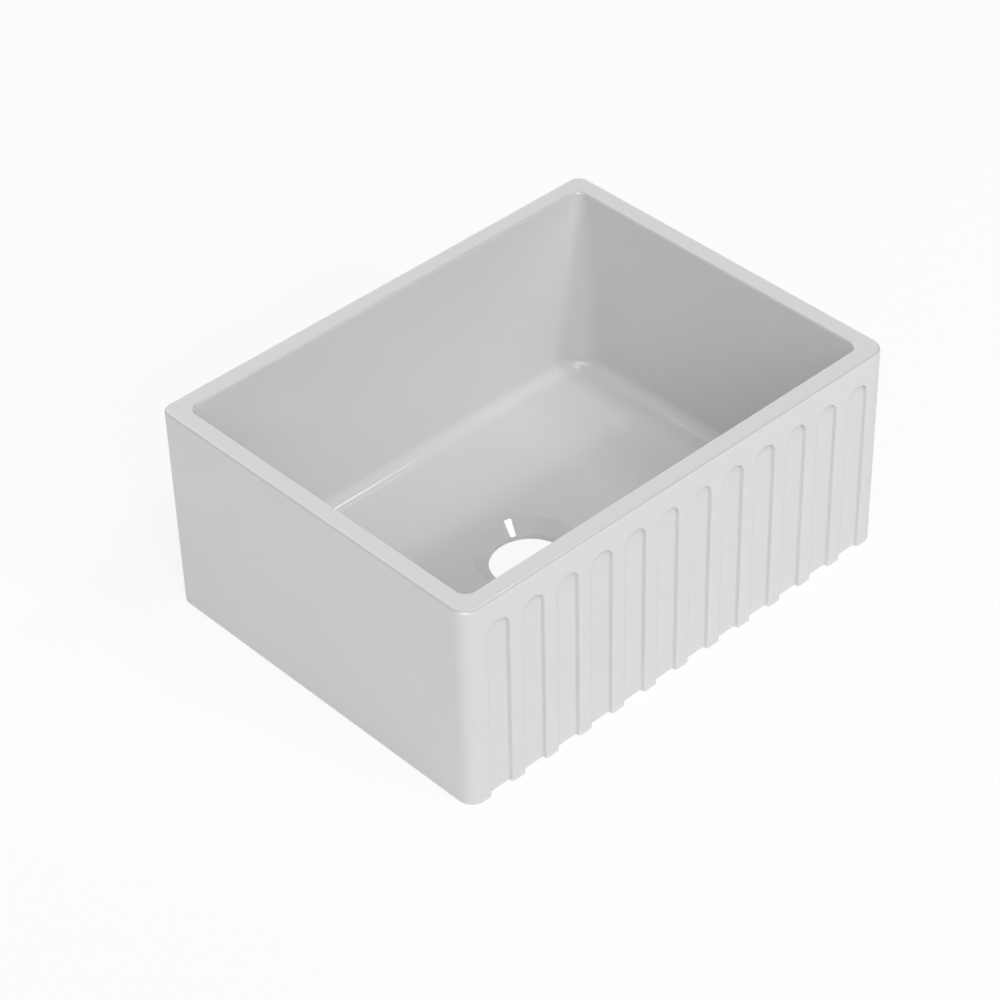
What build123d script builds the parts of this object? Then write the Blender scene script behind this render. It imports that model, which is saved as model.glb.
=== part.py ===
"""Farmhouse apron front sink: one glazed fireclay casting with a fluted apron.

Frame: the origin is the middle of the foot, on the surface the sink stands on.
+X runs along the apron, -Y is the apron's side and +Z is up. Millimetres.
"""

import math
import os

from build123d import *

# Outer shell
OVERALL_WIDTH = 600.0
OVERALL_DEPTH = 455.0
OVERALL_HEIGHT = 255.0
SHELL_DRAFT = 0.31  # degrees: every outer face leans in towards the foot
APRON_CORNER_RADIUS = 19.0
BACK_CORNER_RADIUS = 14.0
FOOT_BEVEL = 1.2
FOOT_BEVEL_LEAN = 45.0  # degrees

# Rim
SIDE_RIM_WIDTH = 22.0
APRON_RIM_WIDTH = 22.0
BACK_RIM_WIDTH = 22.0
RIM_OUTER_RADIUS = 4.0
RIM_INNER_RADIUS = 3.0

# Basin
BASIN_DRAFT = 0.9  # degrees: the inner walls lean in towards the floor
BASIN_TOP_CORNER_RADIUS = 12.0
BASIN_FLOOR_CORNER_RADIUS = 45.0
FLOOR_HEIGHT = 27.0  # the level part of the floor, above the foot
FLOOR_BEND_RADIUS = 16.0

# Dish in the floor, which falls to the waste outlet
DISH_MARGIN = 55.5  # seen from above, from the basin's mouth at the back to the dish
DISH_EDGE_RADIUS = 300.0
SEAT_RADIUS = 62.0
SEAT_HEIGHT = 19.0  # the mouth of the conical seat, above the foot
SEAT_EDGE_RADIUS = 2.0
OUTLET_RADIUS = 45.0
OUTLET_LIP_HEIGHT = 7.0  # where the straight hole ends and the seat starts, above the foot
OUTLET_FOOT_BEVEL = 2.0

# Flutes in the apron
FLUTE_COUNT = 12
FLUTE_WIDTH = 29.0
FLUTE_DEPTH = 5.2
FLUTE_WALL_DRAFT = 5.0  # degrees: the flutes open outwards
FLUTE_TOP_BELOW_RIM = 30.0
FLUTE_END_MARGIN = 29.2  # from the side of the sink to the mouth of the first flute
FLUTE_MOUTH_RADIUS = 2.0

# Not sizes of the sink
OVERCUT = 5.0  # how far a cutting shape runs past the face that it opens
DEEP_OVERCUT = 2 * OVERCUT  # how far a shape runs past the foot to pass the end of an overcut one
PLACE_TOLERANCE = 0.01
FACING_FORWARD = -0.99  # how far a face's normal points along Y before the face counts as the apron's


def lean(height, draft):
    """How far a face that leans by a draft comes in over a height."""
    return height * math.tan(math.radians(draft))


def is_level(edge, height):
    """Whether an edge lies at one height from end to end."""
    return all(abs(edge.position_at(share).Z - height) < PLACE_TOLERANCE for share in (0, 0.5, 1))


def outer_shell():
    """The block that the casting fills. It leans in from the rim to the foot, whose edge is bevelled."""
    rim = Rectangle(OVERALL_WIDTH, OVERALL_DEPTH)
    rim = fillet(rim.vertices().group_by(Axis.Y)[0], APRON_CORNER_RADIUS)
    rim = fillet(rim.vertices().group_by(Axis.Y)[-1], BACK_CORNER_RADIUS)
    height = OVERALL_HEIGHT - FOOT_BEVEL
    walls = extrude(Pos(0, 0, OVERALL_HEIGHT) * rim, amount=-height, taper=SHELL_DRAFT)
    return walls + extrude(walls.faces().sort_by(Axis.Z)[0], amount=FOOT_BEVEL, taper=FOOT_BEVEL_LEAN)


def flute_centres():
    """Where the flutes stand along the apron, evenly spread between its end margins."""
    span = OVERALL_WIDTH - 2 * FLUTE_END_MARGIN - FLUTE_WIDTH
    pitch = span / (FLUTE_COUNT - 1)
    return [number * pitch - span / 2 for number in range(FLUTE_COUNT)]


def flute_cutter():
    """One flute: half its section is turned for the arched top, and the whole is run past the foot."""
    half = FLUTE_WIDTH / 2
    floor = ((0, -FLUTE_DEPTH), (half - lean(FLUTE_DEPTH, FLUTE_WALL_DRAFT), -FLUTE_DEPTH))
    mouth = ((half + lean(OVERCUT, FLUTE_WALL_DRAFT), OVERCUT), (0, OVERCUT))
    half_section = make_face(Polyline(*floor, *mouth, close=True))
    arch = revolve(half_section, axis=Axis.Y, revolution_arc=180)
    slot = extrude(half_section + mirror(half_section, about=Plane.YZ), amount=OVERALL_HEIGHT)
    draft = math.radians(SHELL_DRAFT)
    down = Vector(0, math.sin(draft), -math.cos(draft))
    rim_edge = Vector(0, -OVERALL_DEPTH / 2, OVERALL_HEIGHT)
    arch_middle = rim_edge + down * (FLUTE_TOP_BELOW_RIM + half)
    return Plane(origin=arch_middle, x_dir=(1, 0, 0), z_dir=down) * (arch + slot)


def flute_mouths(body):
    """The edges where the flutes open into the apron's face, the largest that looks forward."""
    forward = [face for face in body.faces() if face.normal_at().Y < FACING_FORWARD]
    apron = max(forward, key=lambda face: face.area)
    last = OVERALL_WIDTH / 2 - FLUTE_END_MARGIN + PLACE_TOLERANCE
    between = [edge for edge in apron.edges() if abs(edge.center().X) < last]
    ends = (FOOT_BEVEL, OVERALL_HEIGHT)
    return [edge for edge in between if not any(is_level(edge, height) for height in ends)]


def fluted_shell():
    """The outer shell with its row of flutes, softened where they open into the apron's face."""
    cutter = flute_cutter()
    body = outer_shell() - [Pos(x, 0, 0) * cutter for x in flute_centres()]
    return fillet(flute_mouths(body), FLUTE_MOUTH_RADIUS)


def basin_half_sizes():
    """Half the width and half the depth of the basin's mouth, at the rim."""
    width = OVERALL_WIDTH - 2 * SIDE_RIM_WIDTH
    depth = OVERALL_DEPTH - APRON_RIM_WIDTH - BACK_RIM_WIDTH
    return width / 2, depth / 2


def between_walls():
    """The space between the four basin walls, about its own middle, with sharp corners."""
    half_width, half_depth = basin_half_sizes()
    from_below = (Align.CENTER, Align.CENTER, Align.MIN)
    space = Box(2 * half_width, 2 * half_depth, OVERALL_HEIGHT + OVERCUT, align=from_below)
    space = Pos(0, 0, -OVERCUT) * space
    for number, reach in enumerate((half_width, half_depth, half_width, half_depth)):
        outwards = Vector(1, 0, -lean(1, BASIN_DRAFT)).rotate(Axis.Z, 90 * number)
        rim = Vector(reach, 0, OVERALL_HEIGHT).rotate(Axis.Z, 90 * number)
        space = split(space, bisect_by=Plane(origin=rim, z_dir=outwards), keep=Keep.BOTTOM)
    return space


def corner_post():
    """The clay that rounds a basin corner by a radius that widens evenly from the rim to the floor.

    It fills the wedge between two walls and the axis of a cone that touches both walls, less the cone.
    The cone's tip is above the rim, on the line where the two walls would meet.
    """
    half_width, half_depth = basin_half_sizes()
    inset = lean(1, BASIN_DRAFT)
    widening = (BASIN_FLOOR_CORNER_RADIUS - BASIN_TOP_CORNER_RADIUS) / (OVERALL_HEIGHT - FLOOR_HEIGHT)
    above_rim = BASIN_TOP_CORNER_RADIUS / widening
    length = above_rim + OVERALL_HEIGHT + DEEP_OVERCUT
    tip = Vector(half_width, half_depth, OVERALL_HEIGHT) + Vector(inset, inset, 1) * above_rim
    meeting = tip - Vector(inset, inset, 1) * length
    middle = meeting - Vector(1, 1, 0) * widening * length
    walls = (Vector(1, 0, -inset).normalized(), Vector(0, 1, -inset).normalized())
    reach = walls[0].dot(tip - middle)
    touches = [middle + wall * reach for wall in walls]
    ring = [middle, touches[0], meeting, touches[1]]
    sides = [make_face(Polyline(tip, *pair, close=True)) for pair in zip(ring, ring[1:] + ring[:1])]
    ends = [make_face(Polyline(middle, touch, meeting, close=True)) for touch in touches]
    axis = middle - tip
    cone_radius = reach * axis.length / math.sqrt(axis.length**2 - reach**2)
    from_tip = (Align.CENTER, Align.CENTER, Align.MIN)
    cone = Cone(0, cone_radius, axis.length, align=from_tip)
    return Solid(Shell(sides + ends)) - Plane(origin=tip, z_dir=axis) * cone


def floor_clay():
    """The clay below the floor, turned about the outlet's axis: level, then a dish, a seat and a hole."""
    far = OVERALL_WIDTH + OVERALL_DEPTH
    _, half_depth = basin_half_sizes()
    dish = (half_depth - DISH_MARGIN, FLOOR_HEIGHT)
    seat = (SEAT_RADIUS, SEAT_HEIGHT)
    hole = ((OUTLET_RADIUS, OUTLET_LIP_HEIGHT), (OUTLET_RADIUS, OUTLET_FOOT_BEVEL))
    bevel = (OUTLET_RADIUS + OUTLET_FOOT_BEVEL + DEEP_OVERCUT, -DEEP_OVERCUT)
    outline = Polyline((far, FLOOR_HEIGHT), dish, seat, *hole, bevel, (far, -DEEP_OVERCUT), close=True)
    section = make_face(outline)
    for place, radius in ((dish, DISH_EDGE_RADIUS), (seat, SEAT_EDGE_RADIUS)):
        section = fillet(section.vertices().sort_by_distance(place)[0], radius)
    return revolve(Plane.XZ * section, axis=Axis.Z)


def basin_void():
    """The space inside: walls whose corners widen downwards, and a bend that leads into the floor."""
    corner = corner_post()
    corners = [corner, mirror(corner, about=Plane.YZ)]
    corners += [mirror(post, about=Plane.XZ) for post in corners]
    middle_y = (APRON_RIM_WIDTH - BACK_RIM_WIDTH) / 2
    void = Pos(0, middle_y, 0) * (between_walls() - corners) - floor_clay()
    floor = void.faces().filter_by_position(Axis.Z, FLOOR_HEIGHT, FLOOR_HEIGHT)[0]
    return fillet(floor.outer_wire().edges(), FLOOR_BEND_RADIUS)


def round_rim(body):
    """Softens the rim's two edges: the one outside, and the one round the basin."""
    for radius, is_outer in ((RIM_OUTER_RADIUS, True), (RIM_INNER_RADIUS, False)):
        rim = body.faces().sort_by(Axis.Z)[-1]
        loops = [rim.outer_wire()] if is_outer else rim.inner_wires()
        edges = [edge for loop in loops for edge in loop.edges()]
        body = fillet(edges, radius)
    return body


def sink_body():
    """The whole casting."""
    return round_rim(fluted_shell() - basin_void())


if __name__ == "__main__":
    os.makedirs("parts", exist_ok=True)
    export_step(sink_body(), "parts/sink_body.step")
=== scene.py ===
"""A farmhouse apron front sink in white glazed fireclay, on a plain pale floor.

Sizes are written in millimetres and become metres in the mesh. The sink is one closed skin. Its level
sections are rounded rectangles that share one set of stations, and its rows of stations run from the
waste outlet out over the foot, up the outer walls, over the rim and down through the basin to the
outlet again. The flutes of the apron are twelve equal cells that are laid into that skin.
"""

import math

import bmesh
import bpy
import numpy as np
from mathutils import Matrix, Vector


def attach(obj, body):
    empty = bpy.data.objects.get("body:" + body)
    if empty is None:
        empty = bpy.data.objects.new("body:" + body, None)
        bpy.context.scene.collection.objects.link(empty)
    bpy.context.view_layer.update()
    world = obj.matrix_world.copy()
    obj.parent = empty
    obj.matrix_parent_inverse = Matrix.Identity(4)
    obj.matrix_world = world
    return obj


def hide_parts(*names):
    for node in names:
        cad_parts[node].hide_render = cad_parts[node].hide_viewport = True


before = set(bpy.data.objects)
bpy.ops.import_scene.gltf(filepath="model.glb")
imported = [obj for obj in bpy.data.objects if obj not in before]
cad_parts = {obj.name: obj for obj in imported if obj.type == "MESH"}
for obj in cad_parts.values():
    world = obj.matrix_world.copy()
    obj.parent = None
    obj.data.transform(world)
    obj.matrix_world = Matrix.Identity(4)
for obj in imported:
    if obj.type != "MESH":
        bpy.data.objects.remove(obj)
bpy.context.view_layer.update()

MM = 0.001

# Outer shell, with the overall sizes of the frame
WIDTH = 600.0
DEPTH = 455.0
HEIGHT = 255.0
SHELL_DRAFT = 0.31  # degrees
APRON_CORNER_RADIUS = 19.0
BACK_CORNER_RADIUS = 14.0
FOOT_EDGE_RADIUS = 1.5

# Rim and basin
RIM_WIDTH = 22.0
RIM_OUTER_RADIUS = 4.0
RIM_INNER_RADIUS = 3.0
BASIN_DRAFT = 0.9  # degrees
BASIN_TOP_CORNER_RADIUS = 12.0
BASIN_FLOOR_CORNER_RADIUS = 45.0
FLOOR_HEIGHT = 27.0
FLOOR_BEND_RADIUS = 16.0

# Dish in the floor, which falls to the waste outlet
DISH_RADIUS = 150.0
DISH_EDGE_RADIUS = 300.0
SEAT_RADIUS = 62.0
SEAT_HEIGHT = 19.0
SEAT_EDGE_RADIUS = 2.0
OUTLET_RADIUS = 45.0
OUTLET_LIP_HEIGHT = 7.0
LIP_EDGE_RADIUS = 1.0
OUTLET_FOOT_RADIUS = 2.0

# Flutes
FLUTE_COUNT = 12
FLUTE_WIDTH = 29.0
FLUTE_DEPTH = 5.2
FLUTE_WALL_DRAFT = 5.0  # degrees
FLUTE_TOP_BELOW_RIM = 30.0
FLUTE_END_MARGIN = 29.2
FLUTE_MOUTH_RADIUS = 2.0
FLUTE_FLOOR_RADIUS = 2.0

# How finely the skin is divided
CELL_STEPS = 16  # from the middle of a flute to the border of its cell, and along an eighth of a turn
FLUTE_FLAT_STEPS = 2  # along half of a flute's floor
FLUTE_ARC_STEPS = 5  # round each edge of a flute
STRAIGHT_STEPS = 7  # up the straight part of a flute
ABOVE_STEPS = 4  # from the flutes' cells up to the rim's rounding
CORNER_STEPS = 20
SIDE_STEPS = 16
BACK_STEPS = 36
EDGE_STEPS = 6  # round a small edge
BEND_STEPS = 14
WALL_STEPS = 14
LEVEL_STEPS = 5
DISH_STEPS = 8
FALL_STEPS = 10
LIP_STEPS = 2
UNDERSIDE_STEPS = 4
UNDERSIDE_BAND = 14.0  # a plain band inside the foot's edge
WELD_DISTANCE = 0.002

# Glaze and clay. A width is how far apart the swellings of a surface lie, and a relief their height.
GLAZE_WHITE = "D8D8D8"
RIM_EDGE_SHADE = "C5C5C4"  # painted shade on the rim's rounded edges, where they face up at about 45 degrees
SHADED_EDGE_FACING = 0.7  # how far up the middle of the painted shade on a rounded edge faces, from 0 for a wall to 1 for the rim
GLAZE_ROUGHNESS = 0.06
GLAZE_IOR = 1.52
WAVE_WIDTH = 110.0
WAVE_RELIEF = 0.02
PEEL_WIDTH = 6.0
PEEL_RELIEF = 0.0008
GLAZE_ENDS = 0.35  # above the floor
BARE_CLAY = "D9CDB8"
CLAY_ROUGHNESS = 0.85
CLAY_IOR = 1.45
GRIT_WIDTH = 2.0  # coarser than the clay's own grit, which is too fine to show
GRIT_RELIEF = 0.2

# Camera: where it stands round the sink in degrees, then metres, then millimetres for the lens
CAMERA_BEARING = -42.516  # from the front towards the left end
CAMERA_ELEVATION = 39.328
CAMERA_ROLL = -1.641
CAMERA_ASIDE = (-0.032716, 0.071299)
CAMERA_DISTANCE = 3.542814
CAMERA_REACH = 50.0
CAMERA_LENS = 118.78
CAMERA_SENSOR = 36.0

# Light: places are degrees to the right of the front and degrees up
LAMP_DISTANCE = 5.0
LAMPS = {  # name: place, width in metres, watts
    "key": ((12.6, 38.7), 0.3, 34.0),
    "top": ((20.0, 63.0), 0.6, 22.0),
    "left": ((-30.0, 60.0), 0.8, 41.0),
    "right": ((60.0, 60.0), 0.8, 18.0),
}
SOFT_LIGHTS = {  # place: strength, as they light the colour under the gloss
    (-20, 38): 2.76,
    (-90, 38): 0.3,
    (-90, 10): 1.0,
    (-135, 38): 0.6,
    (180, 10): 2.6,
    (120, 10): 2.05,
}
GLOSS_LIGHTS = {(-45, 8): 12.0, (180, 36): 3.7, (135, 8): 1.8}  # as they show in the gloss
SOFT_SHARPNESS = 12.0  # a soft light falls to a half some 20 degrees from its middle

# Floor, in metres
FLOOR_SIZE = 40.0
FLOOR_LEVEL = -0.0003  # just below the foot
FLOOR_WHITE = "F8F8F8"
FLOOR_GLOW = 0.85  # the share of plain white in what the camera sees of the paper
WHITE = (1, 1, 1, 1)  # linear RGBA


# ---------------------------------------------------------------- outlines


def tangent(degrees):
    return math.tan(math.radians(degrees))


def flute_section():
    """Half of a flute's level section, from its middle to the border of its cell.

    Each station has a place across the flute, a depth below the apron's face, an angle by which its
    plan normal leans towards the flute's middle, and a share of the way from the mouth to the border.
    The floor bends by an arc into a wall that leans by its draft, and the wall bends by an arc into the
    face. Both arcs turn by the same angle, a quarter turn less the draft.
    """
    turn = math.radians(90 - FLUTE_WALL_DRAFT)
    half = FLUTE_WIDTH / 2
    floor_corner = half - FLUTE_DEPTH * tangent(FLUTE_WALL_DRAFT)
    floor_start = floor_corner - FLUTE_FLOOR_RADIUS * math.tan(turn / 2)
    mouth_end = half + FLUTE_MOUTH_RADIUS * math.tan(turn / 2)
    flat = FLUTE_FLAT_STEPS
    angles = np.linspace(0, turn, FLUTE_ARC_STEPS + 1)
    floor_x = np.linspace(0, floor_start, flat, endpoint=False)
    bend_x = floor_start + FLUTE_FLOOR_RADIUS * np.sin(angles)
    bend_depth = FLUTE_DEPTH - FLUTE_FLOOR_RADIUS * (1 - np.cos(angles))
    mouth_x = mouth_end - FLUTE_MOUTH_RADIUS * np.sin(angles[::-1])
    mouth_depth = FLUTE_MOUTH_RADIUS * (1 - np.cos(angles[::-1]))
    land = CELL_STEPS - flat - 2 * FLUTE_ARC_STEPS - 1
    land_share = np.linspace(0, 1, land + 1)[1:]
    across = np.concatenate([floor_x, bend_x, mouth_x, np.full(land, mouth_end)])
    depth = np.concatenate([np.full(flat, FLUTE_DEPTH), bend_depth, mouth_depth, np.zeros(land)])
    lean = np.concatenate([np.zeros(flat), angles, angles[::-1], np.zeros(land)])
    share = np.concatenate([np.zeros(len(across) - land), land_share])
    return across, depth, lean, share


def cell_half():
    """Half of the distance from one flute to the next."""
    span = WIDTH - 2 * FLUTE_END_MARGIN - FLUTE_WIDTH
    return span / (FLUTE_COUNT - 1) / 2


def flute_centres():
    """Where the flutes stand along the apron, a cell apart and evenly about its middle."""
    return (np.arange(FLUTE_COUNT) - (FLUTE_COUNT - 1) / 2) * 2 * cell_half()


def eighth_shares():
    """Shares from the middle of a side of a square to its corner, at even angles about its middle."""
    return np.tan(np.linspace(0, math.pi / 4, CELL_STEPS + 1))


class Stations:
    """The stations round the sink, anticlockwise from the left end of the apron.

    A rounded rectangle with half sizes a and b and corner radius r passes each station at
    (x_share * (a - r), y_share * (b - r)) + r * normal, so all the sink's level sections, large or
    small, are the same few arrays. back_share is 0 at the apron's corners and 1 at the back's.
    """

    def __init__(self, apron_x):
        straight_half = WIDTH / 2 - APRON_CORNER_RADIUS
        pieces = [
            self.side(apron_x / straight_half, -np.ones_like(apron_x), -90, 0),
            self.corner(1, -1, -90, 0),
            self.side(np.ones(SIDE_STEPS + 1), np.linspace(-1, 1, SIDE_STEPS + 1), 0, None),
            self.corner(1, 1, 0, 1),
            self.side(np.linspace(1, -1, BACK_STEPS + 1), np.ones(BACK_STEPS + 1), 90, 1),
            self.corner(-1, 1, 90, 1),
            self.side(-np.ones(SIDE_STEPS + 1), np.linspace(1, -1, SIDE_STEPS + 1), 180, None),
            self.corner(-1, -1, 180, 0),
        ]
        columns = [np.concatenate([piece[i][:-1] for piece in pieces]) for i in range(4)]
        self.x_share, self.y_share, self.back_share, bearing = columns
        self.normal = np.stack([np.cos(bearing), np.sin(bearing)], axis=1)

    @staticmethod
    def side(x_share, y_share, bearing, back_share):
        """A straight side, whose normals have one bearing.

        Its back_share is given, or follows from y_share where the side runs between front and back.
        """
        if back_share is None:
            back = (y_share + 1) / 2
        else:
            back = np.full(len(x_share), float(back_share))
        return x_share, y_share, back, np.full(len(x_share), math.radians(bearing))

    @staticmethod
    def corner(x_share, y_share, start, back_share):
        """A corner, whose normals turn evenly by a quarter turn from the bearing where it starts."""
        bearing = np.radians(np.linspace(start, start + 90, CORNER_STEPS + 1))
        ones = np.ones(CORNER_STEPS + 1)
        return ones * x_share, ones * y_share, ones * back_share, bearing

    def outline(self, half_width, half_depth, front_radius, back_radius):
        """The places in plan of one rounded rectangle."""
        radius = front_radius + (back_radius - front_radius) * self.back_share
        x = self.x_share * (half_width - radius)
        y = self.y_share * (half_depth - radius)
        return np.stack([x, y], axis=1) + radius[:, None] * self.normal


def raised(plan, height):
    """A row of the skin: places in plan with a height, or with one height for each place."""
    return np.column_stack([plan, np.broadcast_to(height, len(plan))])


# ---------------------------------------------------------------- rounded edges


def edge_arc(first, second, radius, steps):
    """An arc that touches two lines from one edge point, as steps + 1 places in the edge's own plane.

    first and second are the directions of the lines, as (outward, up), and may have one row for each
    station. The arc's middle lies on the line that halves their angle, at the radius over the sine of
    half the angle, and the arc touches each line at the radius over the tangent of it. The arc starts
    on first, and each place is the mean of its ends, weighted by sines so that it stays round.
    """
    first = np.atleast_2d(first) / np.linalg.norm(np.atleast_2d(first), axis=1, keepdims=True)
    second = np.atleast_2d(second) / np.linalg.norm(np.atleast_2d(second), axis=1, keepdims=True)
    halving = first + second
    halving /= np.linalg.norm(halving, axis=1, keepdims=True)
    half_angle = np.arccos(np.clip((first * second).sum(axis=1), -1, 1)) / 2
    middle = halving * (radius / np.sin(half_angle))[:, None]
    touch = radius / np.tan(half_angle)
    start = first * touch[:, None] - middle
    end = second * touch[:, None] - middle
    turn = math.pi - 2 * half_angle
    rows = []
    for share in np.linspace(0, 1, steps + 1):
        weight_start = np.sin((1 - share) * turn) / np.sin(turn)
        weight_end = np.sin(share * turn) / np.sin(turn)
        rows.append(middle + start * weight_start[:, None] + end * weight_end[:, None])
    return rows


def edge_rows(stations, plan, height, first, second, radius, steps):
    """The rows of a rounded edge that runs round all the stations at one height."""
    rows = []
    for place in edge_arc(first, second, radius, steps):
        rows.append(raised(plan + place[:, :1] * stations.normal, height + place[:, 1]))
    return rows


def ring_rows(towards, ring, first, second, radius, steps):
    """The rows of a rounded edge round the outlet's axis, on a ring given by its radius and height."""
    ring_radius, height = ring
    rows = []
    for place in edge_arc(first, second, radius, steps):
        rows.append(raised((ring_radius + place[:, :1]) * towards, height + place[:, 1]))
    return rows


def between(start, end, steps):
    """The rows that lie between two rows, without either."""
    return [start + (end - start) * share for share in np.linspace(0, 1, steps + 1)[1:-1]]


# ---------------------------------------------------------------- rows of the skin


def shell_inset(height):
    """How far the outer faces have come in at a height below the rim."""
    return (HEIGHT - height) * tangent(SHELL_DRAFT)


def shell_row(stations, height, inset=0.0):
    """The outer wall at a height: the rim's outline, set in by the draft and by a rounding."""
    plan = stations.outline(WIDTH / 2, DEPTH / 2, APRON_CORNER_RADIUS, BACK_CORNER_RADIUS)
    return raised(plan - (shell_inset(height) + inset) * stations.normal, height)


def wall_heights():
    """Heights of the rows of the outer wall, as the borders of the flutes' cells need them.

    They rise evenly from the foot's rounding to the spring of the arches, then at even angles about the
    spring point to half a cell above it, and then evenly to the rim's rounding.
    """
    spring = HEIGHT - FLUTE_TOP_BELOW_RIM - FLUTE_WIDTH / 2
    straight = np.linspace(FOOT_EDGE_RADIUS, spring, STRAIGHT_STEPS + 1)
    arched = spring + cell_half() * eighth_shares()[1:]
    above = np.linspace(arched[-1], HEIGHT - RIM_OUTER_RADIUS, ABOVE_STEPS + 1)[1:]
    return straight, arched, above


def quarter(steps):
    """Shares of a rounded edge, as (set in, left to go), from the wall to the flat."""
    angles = np.linspace(0, math.pi / 2, steps + 1)
    return zip(1 - np.cos(angles), 1 - np.sin(angles))


def rim_rows(stations):
    """The rows from the top of the flutes' cells up the wall and over the rim's outer edge."""
    rows = [shell_row(stations, z) for z in wall_heights()[2]]
    for inset, below in list(quarter(EDGE_STEPS))[1:]:
        rows.append(shell_row(stations, HEIGHT - below * RIM_OUTER_RADIUS, inset * RIM_OUTER_RADIUS))
    return rows


def basin_rows(stations):
    """The rows of the rim's inner edge, the basin's walls and the bend that leads into its floor.

    The mouth and the floor's edge are outlines over the same stations, and the walls run straight from
    one to the other, so that every corner is part of a cone.
    """
    half_x = WIDTH / 2 - RIM_WIDTH
    half_y = DEPTH / 2 - RIM_WIDTH
    fall = HEIGHT - FLOOR_HEIGHT
    inset = fall * tangent(BASIN_DRAFT)
    top_radius, floor_radius = BASIN_TOP_CORNER_RADIUS, BASIN_FLOOR_CORNER_RADIUS
    mouth = stations.outline(half_x, half_y, top_radius, top_radius)
    floor_edge = stations.outline(half_x - inset, half_y - inset, floor_radius, floor_radius)
    lean = ((mouth - floor_edge) * stations.normal).sum(axis=1) / fall
    ones = np.ones_like(lean)
    outward = np.column_stack([ones, 0 * ones])
    down_wall = np.column_stack([-lean, -ones])
    lip = edge_rows(stations, mouth, HEIGHT, outward, down_wall, RIM_INNER_RADIUS, EDGE_STEPS)
    bend = edge_rows(
        stations, floor_edge, FLOOR_HEIGHT, -down_wall, -outward, FLOOR_BEND_RADIUS, BEND_STEPS
    )
    return lip + between(lip[-1], bend[0], WALL_STEPS) + bend


def outlet_rows(start):
    """The rows from the floor's edge inwards: the level floor, the dish, the seat and the hole.

    Each is a ring about the outlet's axis, in the directions in which the first row lies from it.
    """
    towards = start[:, :2] / np.linalg.norm(start[:, :2], axis=1, keepdims=True)
    slope = np.array([DISH_RADIUS - SEAT_RADIUS, FLOOR_HEIGHT - SEAT_HEIGHT])
    cone = np.array([SEAT_RADIUS - OUTLET_RADIUS, SEAT_HEIGHT - OUTLET_LIP_HEIGHT])
    outwards, up = np.array([1.0, 0.0]), np.array([0.0, 1.0])
    dish, seat = (DISH_RADIUS, FLOOR_HEIGHT), (SEAT_RADIUS, SEAT_HEIGHT)
    lip, foot = (OUTLET_RADIUS, OUTLET_LIP_HEIGHT), (OUTLET_RADIUS, 0.0)
    rows = [start]
    for ring, first, second, radius, arc_steps, steps in (
        (dish, outwards, -slope, DISH_EDGE_RADIUS, DISH_STEPS, LEVEL_STEPS),
        (seat, slope, -cone, SEAT_EDGE_RADIUS, EDGE_STEPS, FALL_STEPS),
        (lip, cone, -up, LIP_EDGE_RADIUS, EDGE_STEPS, LIP_STEPS),
        (foot, up, outwards, OUTLET_FOOT_RADIUS, EDGE_STEPS, LIP_STEPS),
    ):
        arc = ring_rows(towards, ring, first, second, radius, arc_steps)
        rows += between(rows[-1], arc[0], steps) + arc
    return rows[1:]


def upper_rows(stations):
    """The rows above the flutes: the wall, the rim with its two edges, the basin and the outlet."""
    rows = rim_rows(stations) + basin_rows(stations)
    return rows + outlet_rows(rows[-1])


# ---------------------------------------------------------------- the apron


def apron_border_x():
    """Where the stations of the apron's top border stand, from its left end to its right end.

    In each cell they lie at even angles about the spring point of its arch.
    """
    shares = eighth_shares()
    cell = cell_half() * np.concatenate([-shares[:0:-1], shares])
    across = np.concatenate([centre + cell[:-1] for centre in flute_centres()])
    last = flute_centres()[-1] + cell[-1]
    straight_half = WIDTH / 2 - APRON_CORNER_RADIUS
    return np.concatenate([[-straight_half], across, [last, straight_half]])


def apron_foot():
    """One cell's foot in plan, with its flute: places across, depths and plan normals."""
    across, depth, lean, share = flute_section()
    across = across + (cell_half() - across) * share
    x = np.concatenate([-across[::-1], across[1:]])
    deep = np.concatenate([depth[::-1], depth[1:]])
    side = np.concatenate([np.sin(lean[::-1]), -np.sin(lean[1:])])
    forward = np.concatenate([-np.cos(lean[::-1]), -np.cos(lean[1:])])
    return x, deep, np.stack([side, forward], axis=1)


def foot_rows(stations):
    """The plain band inside the foot's edge, and the rows of its rounding from it up to the wall.

    A place is the wall's place at its height, sunk by the flute's depth there, less the rounding's
    inset along the plan normal of the wall or of the flute.
    """
    cell_x, cell_depth, cell_normal = apron_foot()
    count = len(cell_x) - 1
    normal = stations.normal.copy()
    sunk = np.zeros(len(normal))
    x_places = stations.outline(WIDTH / 2, DEPTH / 2, APRON_CORNER_RADIUS, BACK_CORNER_RADIUS)[:, 0]
    apron = np.zeros(len(normal), bool)
    for number, centre in enumerate(flute_centres()):
        here = slice(1 + number * count, 2 + (number + 1) * count)
        normal[here] = cell_normal
        sunk[here] = cell_depth
        x_places[here] = centre + cell_x
        apron[here] = True

    rows = []
    for inset, above in list(quarter(EDGE_STEPS))[::-1]:
        row = shell_row(stations, above * FOOT_EDGE_RADIUS)
        row[:, 0] = np.where(apron, x_places, row[:, 0])
        row[:, 1] += sunk
        row[:, :2] -= inset * FOOT_EDGE_RADIUS * normal
        rows.append(row)
    band = shell_row(stations, 0.0, UNDERSIDE_BAND)
    band[:, 0] = np.where(apron, rows[0][:, 0], band[:, 0])
    return [band] + rows


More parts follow.
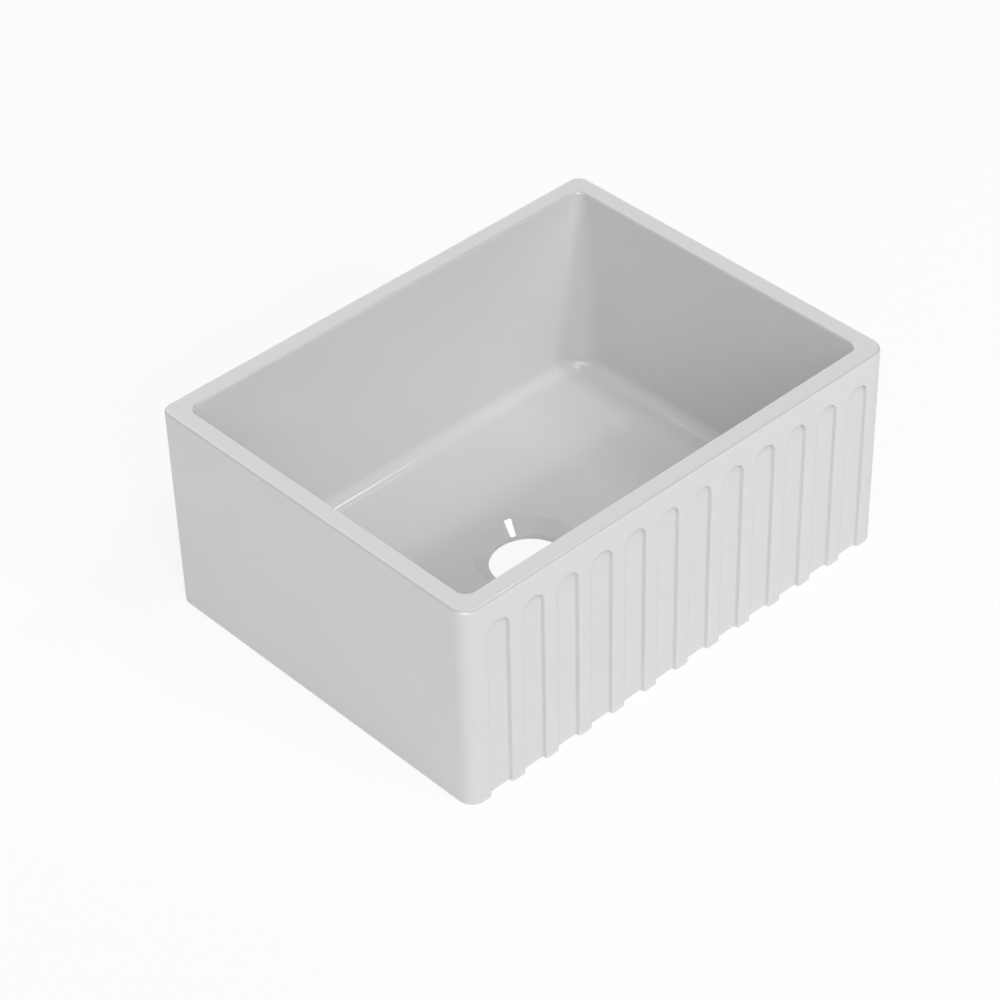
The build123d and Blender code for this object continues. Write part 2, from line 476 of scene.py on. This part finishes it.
def flute_cell():
    """One cell of the apron about x = 0: rows along its border, from left foot to right foot.

    A station lies on a ray from the flute's middle line, level up to the spring of the arch and turning
    about the spring point above it, by four eighths of a turn. Along each ray the flute's section runs
    from the middle to the mouth, and a plain land from there to the cell's border.
    """
    straight, _, _ = wall_heights()
    spring = straight[-1]
    across, depth, _, share = flute_section()
    turn = np.linspace(math.pi, 0, 4 * CELL_STEPS + 1)
    bearing = np.concatenate([np.full(STRAIGHT_STEPS, math.pi), turn, np.zeros(STRAIGHT_STEPS)])
    middle = np.concatenate([straight[:-1], np.full(len(turn), spring), straight[-2::-1]])
    cosine = np.cos(bearing)
    sine = np.sin(bearing)
    border = cell_half() / np.maximum(np.abs(cosine), np.abs(sine))
    reach = across[None, :] + (border[:, None] - across[None, :]) * share[None, :]
    x = reach * cosine[:, None]
    z = middle[:, None] + reach * sine[:, None]
    y = -DEPTH / 2 + shell_inset(z) + np.broadcast_to(depth, z.shape)
    return np.stack([x, y, z], axis=2)


# ---------------------------------------------------------------- the skin as one mesh


def grid_faces(row_count, column_count, start, closed):
    """The quads of a grid of places that is stored row by row from a starting number."""
    columns = column_count if closed else column_count - 1
    row = np.arange(row_count - 1)[:, None] * column_count + start
    column = np.arange(columns)[None, :]
    following = (column + 1) % column_count
    above = row + column_count
    corners = np.broadcast_arrays(row + column, row + following, above + following, above + column)
    return np.stack(corners, axis=2).reshape(-1, 4)


def sink_skin():
    """All places and quads of the skin, before its seams are welded.

    It is a grid from the outlet under the foot to the wall, a grid round the sink beside the flutes, a
    grid above them that ends at the outlet again, and one more for each flute's cell.
    """
    stations = Stations(apron_border_x())
    count = len(stations.normal)
    panel = FLUTE_COUNT * 2 * CELL_STEPS
    straight, arched, _ = wall_heights()
    upper = upper_rows(stations)
    foot = foot_rows(stations)
    lower = [upper[-1]] + between(upper[-1], foot[0], UNDERSIDE_STEPS) + foot
    walls = [shell_row(stations, z) for z in np.concatenate([straight, arched])]
    beside = [np.roll(row, -(panel + 1), axis=0)[: count - panel + 1] for row in walls]
    grids = [(lower, True), (beside, False), (walls[-1:] + upper, True)]
    grids += [(flute_cell() + np.array([centre, 0, 0]), False) for centre in flute_centres()]

    places = []
    faces = []
    start = 0
    for rows, closed in grids:
        block = np.stack(rows)
        faces.append(grid_faces(block.shape[0], block.shape[1], start, closed))
        places.append(block.reshape(-1, 3))
        start += len(places[-1])
    return np.concatenate(places), np.concatenate(faces)


def weld(name, places, faces):
    """One closed mesh in metres: the seams between the grids are welded and its faces look outwards.

    Every corner gets its vertex's normal, the sum of the face normals there by area, so that the flat
    faces stay flat beside their rounded edges.
    """
    mesh = bpy.data.meshes.new(name)
    mesh.from_pydata(places * MM, [], faces.tolist())
    form = bmesh.new()
    form.from_mesh(mesh)
    bmesh.ops.remove_doubles(form, verts=form.verts, dist=WELD_DISTANCE * MM)
    bmesh.ops.recalc_face_normals(form, faces=form.faces)
    form.to_mesh(mesh)
    form.free()
    mesh.shade_smooth()
    mesh.normals_split_custom_set_from_vertices(area_normals(mesh))
    return mesh


def area_normals(mesh):
    """The normal of each vertex, as the sum of the normals of its faces times their areas."""
    corner_vertex = np.empty(len(mesh.loops), int)
    mesh.loops.foreach_get("vertex_index", corner_vertex)
    normal = np.empty(3 * len(mesh.polygons))
    mesh.polygons.foreach_get("normal", normal)
    area = np.empty(len(mesh.polygons))
    mesh.polygons.foreach_get("area", area)
    corners = np.empty(len(mesh.polygons), int)
    mesh.polygons.foreach_get("loop_total", corners)
    weighted = np.repeat(normal.reshape(-1, 3) * area[:, None], corners, axis=0)
    total = np.zeros((len(mesh.vertices), 3))
    np.add.at(total, corner_vertex, weighted)
    return total / np.linalg.norm(total, axis=1, keepdims=True)


# ---------------------------------------------------------------- materials


def linear(code):
    """A hex sRGB colour as linear RGBA."""
    parts = [int(code[i : i + 2], 16) / 255 for i in (0, 2, 4)]
    return [p / 12.92 if p <= 0.04045 else ((p + 0.055) / 1.055) ** 2.4 for p in parts] + [1.0]


def add(tree, kind, settings=None, links=None):
    """Adds a node. settings gives its properties and unlinked sockets, links what feeds its sockets."""
    node = tree.nodes.new("ShaderNode" + kind)
    for key, value in (settings or {}).items():
        if isinstance(key, str) and hasattr(node, key):
            setattr(node, key, value)
        else:
            node.inputs[key].default_value = value
    for key, output in (links or {}).items():
        tree.links.new(output, node.inputs[key])
    return node


def new_material(name):
    material = bpy.data.materials.new(name)
    material.use_nodes = True
    material.node_tree.nodes.clear()
    return material, material.node_tree


def glazed_fireclay():
    """Fireclay, slip cast, sprayed with white glaze and fired once.

    The glaze is a hard clear gloss over white. It lies in a slow unevenness about a hand wide and a
    faint orange peel a few millimetres wide. The rounded edges of the rim carry painted shade,
    darkest where they face up at about 45 degrees. Under the foot the clay is bare, matt and cream.
    """
    material, tree = new_material("glazed_fireclay")
    coordinates = add(tree, "TexCoord").outputs
    place = coordinates["Object"]
    height = add(tree, "SeparateXYZ", None, {"Vector": place}).outputs["Z"]
    facing_up = add(tree, "SeparateXYZ", None, {"Vector": coordinates["Normal"]}).outputs["Z"]

    # The glaze's surface: slow waves, and an orange peel over them
    noise = {"Scale": 1 / (WAVE_WIDTH * MM), "Detail": 2.0}
    swell = add(tree, "TexNoise", noise, {"Vector": place}).outputs["Fac"]
    relief = {"Strength": 1.0, "Distance": WAVE_RELIEF * MM}
    wave = add(tree, "Bump", relief, {"Height": swell}).outputs["Normal"]
    noise = {"Scale": 1 / (PEEL_WIDTH * MM), "Detail": 1.0}
    dimple = add(tree, "TexNoise", noise, {"Vector": place}).outputs["Fac"]
    relief = {"Strength": 1.0, "Distance": PEEL_RELIEF * MM}
    peel = add(tree, "Bump", relief, {"Height": dimple, "Normal": wave}).outputs["Normal"]

    # The glaze's colour, with painted shade on the roundings of the rim's edges
    rounding = {"operation": "GREATER_THAN", 1: (HEIGHT - RIM_OUTER_RADIUS) * MM}
    at_rim = add(tree, "Math", rounding, {0: height}).outputs[0]
    off_edge = add(tree, "Math", {"operation": "SUBTRACT", 1: SHADED_EDGE_FACING}, {0: facing_up}).outputs[0]
    off_edge = add(tree, "Math", {"operation": "ABSOLUTE"}, {0: off_edge}).outputs[0]
    fade = {"interpolation_type": "SMOOTHSTEP", "From Max": 1 - SHADED_EDGE_FACING, "To Min": 1, "To Max": 0}
    on_edge = add(tree, "MapRange", fade, {"Value": off_edge}).outputs["Result"]
    # painted shade: this mask darkens the rim's rounded edges towards their shade tone where they face
    # up at about 45 degrees
    painted_edge_shade = add(tree, "Math", {"operation": "MULTIPLY"}, {0: at_rim, 1: on_edge}).outputs[0]
    whites = {"data_type": "RGBA", 6: linear(GLAZE_WHITE), 7: linear(RIM_EDGE_SHADE)}
    colour = add(tree, "Mix", whites, {0: painted_edge_shade}).outputs[2]
    gloss = {"Roughness": GLAZE_ROUGHNESS, "IOR": GLAZE_IOR}
    glaze = add(tree, "BsdfPrincipled", gloss, {"Base Color": colour, "Normal": peel}).outputs[0]

    # The bare clay, whose grit catches the light as a fine grain
    noise = {"Scale": 1 / (GRIT_WIDTH * MM), "Detail": 4.0}
    grain = add(tree, "TexNoise", noise, {"Vector": place}).outputs["Fac"]
    relief = {"Strength": 1.0, "Distance": GRIT_RELIEF * MM}
    grit = add(tree, "Bump", relief, {"Height": grain}).outputs["Normal"]
    matt = {"Base Color": linear(BARE_CLAY), "Roughness": CLAY_ROUGHNESS, "IOR": CLAY_IOR}
    clay = add(tree, "BsdfPrincipled", matt, {"Normal": grit}).outputs[0]

    bare = add(tree, "Math", {"operation": "LESS_THAN", 1: GLAZE_ENDS * MM}, {0: height}).outputs[0]
    both = add(tree, "MixShader", None, {0: bare, 1: glaze, 2: clay}).outputs[0]
    add(tree, "OutputMaterial", None, {"Surface": both})
    return material


def studio_floor():
    """Seamless white paper. The camera sees it nearly white, and the shadow stays on it."""
    material, tree = new_material("studio_floor")
    camera_ray = add(tree, "LightPath").outputs["Is Camera Ray"]
    paper = add(tree, "BsdfDiffuse", {"Color": linear(FLOOR_WHITE)}).outputs[0]
    glow = add(tree, "Emission", {"Color": WHITE, "Strength": 1.0}).outputs[0]
    share = add(tree, "Math", {"operation": "MULTIPLY", 1: FLOOR_GLOW}, {0: camera_ray}).outputs[0]
    both = add(tree, "MixShader", None, {0: share, 1: paper, 2: glow}).outputs[0]
    add(tree, "OutputMaterial", None, {"Surface": both})
    return material


# ---------------------------------------------------------------- stage


def add_camera():
    """The camera looks at the middle of the foot from its bearing and elevation, then steps aside."""
    data = bpy.data.cameras.new("camera")
    data.lens = CAMERA_LENS
    data.sensor_width = CAMERA_SENSOR
    data.clip_end = CAMERA_REACH
    camera = bpy.data.objects.new("camera", data)
    turn = (
        Matrix.Rotation(math.radians(CAMERA_BEARING), 4, "Z")
        @ Matrix.Rotation(math.radians(90 - CAMERA_ELEVATION), 4, "X")
        @ Matrix.Rotation(math.radians(CAMERA_ROLL), 4, "Z")
    )
    camera.matrix_world = turn @ Matrix.Translation((*CAMERA_ASIDE, CAMERA_DISTANCE))
    bpy.context.scene.collection.objects.link(camera)
    bpy.context.scene.camera = camera


def direction(right_of_front, elevation):
    """The unit vector from the middle of the foot towards a place round the sink."""
    bearing = math.radians(right_of_front)
    up = math.radians(elevation)
    return Vector((math.sin(bearing) * math.cos(up), -math.cos(bearing) * math.cos(up), math.sin(up)))


def add_lamp(name, place, width, power):
    """A square lamp that looks at the middle of the foot from its place."""
    data = bpy.data.lights.new(name, "AREA")
    data.shape = "SQUARE"
    data.size = width
    data.energy = power
    lamp = bpy.data.objects.new(name, data)
    towards = direction(*place)
    lamp.location = towards * LAMP_DISTANCE
    lamp.rotation_euler = towards.to_track_quat("Z", "Y").to_euler()
    bpy.context.scene.collection.objects.link(lamp)


def add_floor():
    mesh = bpy.data.meshes.new("floor")
    half = FLOOR_SIZE / 2
    corners = [(-half, -half), (half, -half), (half, half), (-half, half)]
    mesh.from_pydata([(x, y, FLOOR_LEVEL) for x, y in corners], [], [(0, 1, 2, 3)])
    mesh.materials.append(studio_floor())
    floor = bpy.data.objects.new("floor", mesh)
    bpy.context.scene.collection.objects.link(floor)


def soft_boxes(tree, boxes):
    """The sum of some soft lights far away.

    Each gives strength * exp(SOFT_SHARPNESS * (cosine - 1)), with the cosine of the angle between a
    ray and the light's middle. The strength's logarithm goes into the power.
    """
    ray = add(tree, "TexCoord").outputs["Generated"]
    total = None
    for place, strength in boxes.items():
        middle = {"operation": "DOT_PRODUCT", 1: direction(*place)}
        cosine = add(tree, "VectorMath", middle, {0: ray}).outputs["Value"]
        offset = math.log(strength) - SOFT_SHARPNESS
        fade = {"operation": "MULTIPLY_ADD", 1: SOFT_SHARPNESS, 2: offset}
        power = add(tree, "Math", fade, {0: cosine}).outputs[0]
        glow = add(tree, "Math", {"operation": "EXPONENT"}, {0: power}).outputs[0]
        if total is not None:
            glow = add(tree, "Math", {"operation": "ADD"}, {0: total, 1: glow}).outputs[0]
        total = glow
    return total


def add_world():
    """Soft boxes round the sink. The camera sees white behind them."""
    world = bpy.data.worlds.new("studio")
    world.use_nodes = True
    tree = world.node_tree
    tree.nodes.clear()
    path = add(tree, "LightPath").outputs
    white = {"Color": WHITE}
    light = add(tree, "Background", white, {"Strength": soft_boxes(tree, SOFT_LIGHTS)}).outputs[0]
    gloss = add(tree, "Background", white, {"Strength": soft_boxes(tree, GLOSS_LIGHTS)}).outputs[0]
    seen = add(tree, "Background", white).outputs[0]
    lit = add(tree, "MixShader", None, {0: path["Is Glossy Ray"], 1: light, 2: gloss}).outputs[0]
    both = add(tree, "MixShader", None, {0: path["Is Camera Ray"], 1: lit, 2: seen}).outputs[0]
    add(tree, "OutputWorld", None, {"Surface": both})
    bpy.context.scene.world = world


# ---------------------------------------------------------------- the scene

body = bpy.data.objects.new("sink_body_glazed", weld("sink_body_glazed", *sink_skin()))
body.data.materials.append(glazed_fireclay())
bpy.context.scene.collection.objects.link(body)
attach(body, "root")
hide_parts("sink_body")

add_camera()
add_floor()
add_world()
for lamp_name, lamp in LAMPS.items():
    add_lamp(lamp_name, *lamp)
bpy.context.scene.view_settings.view_transform = "Standard"
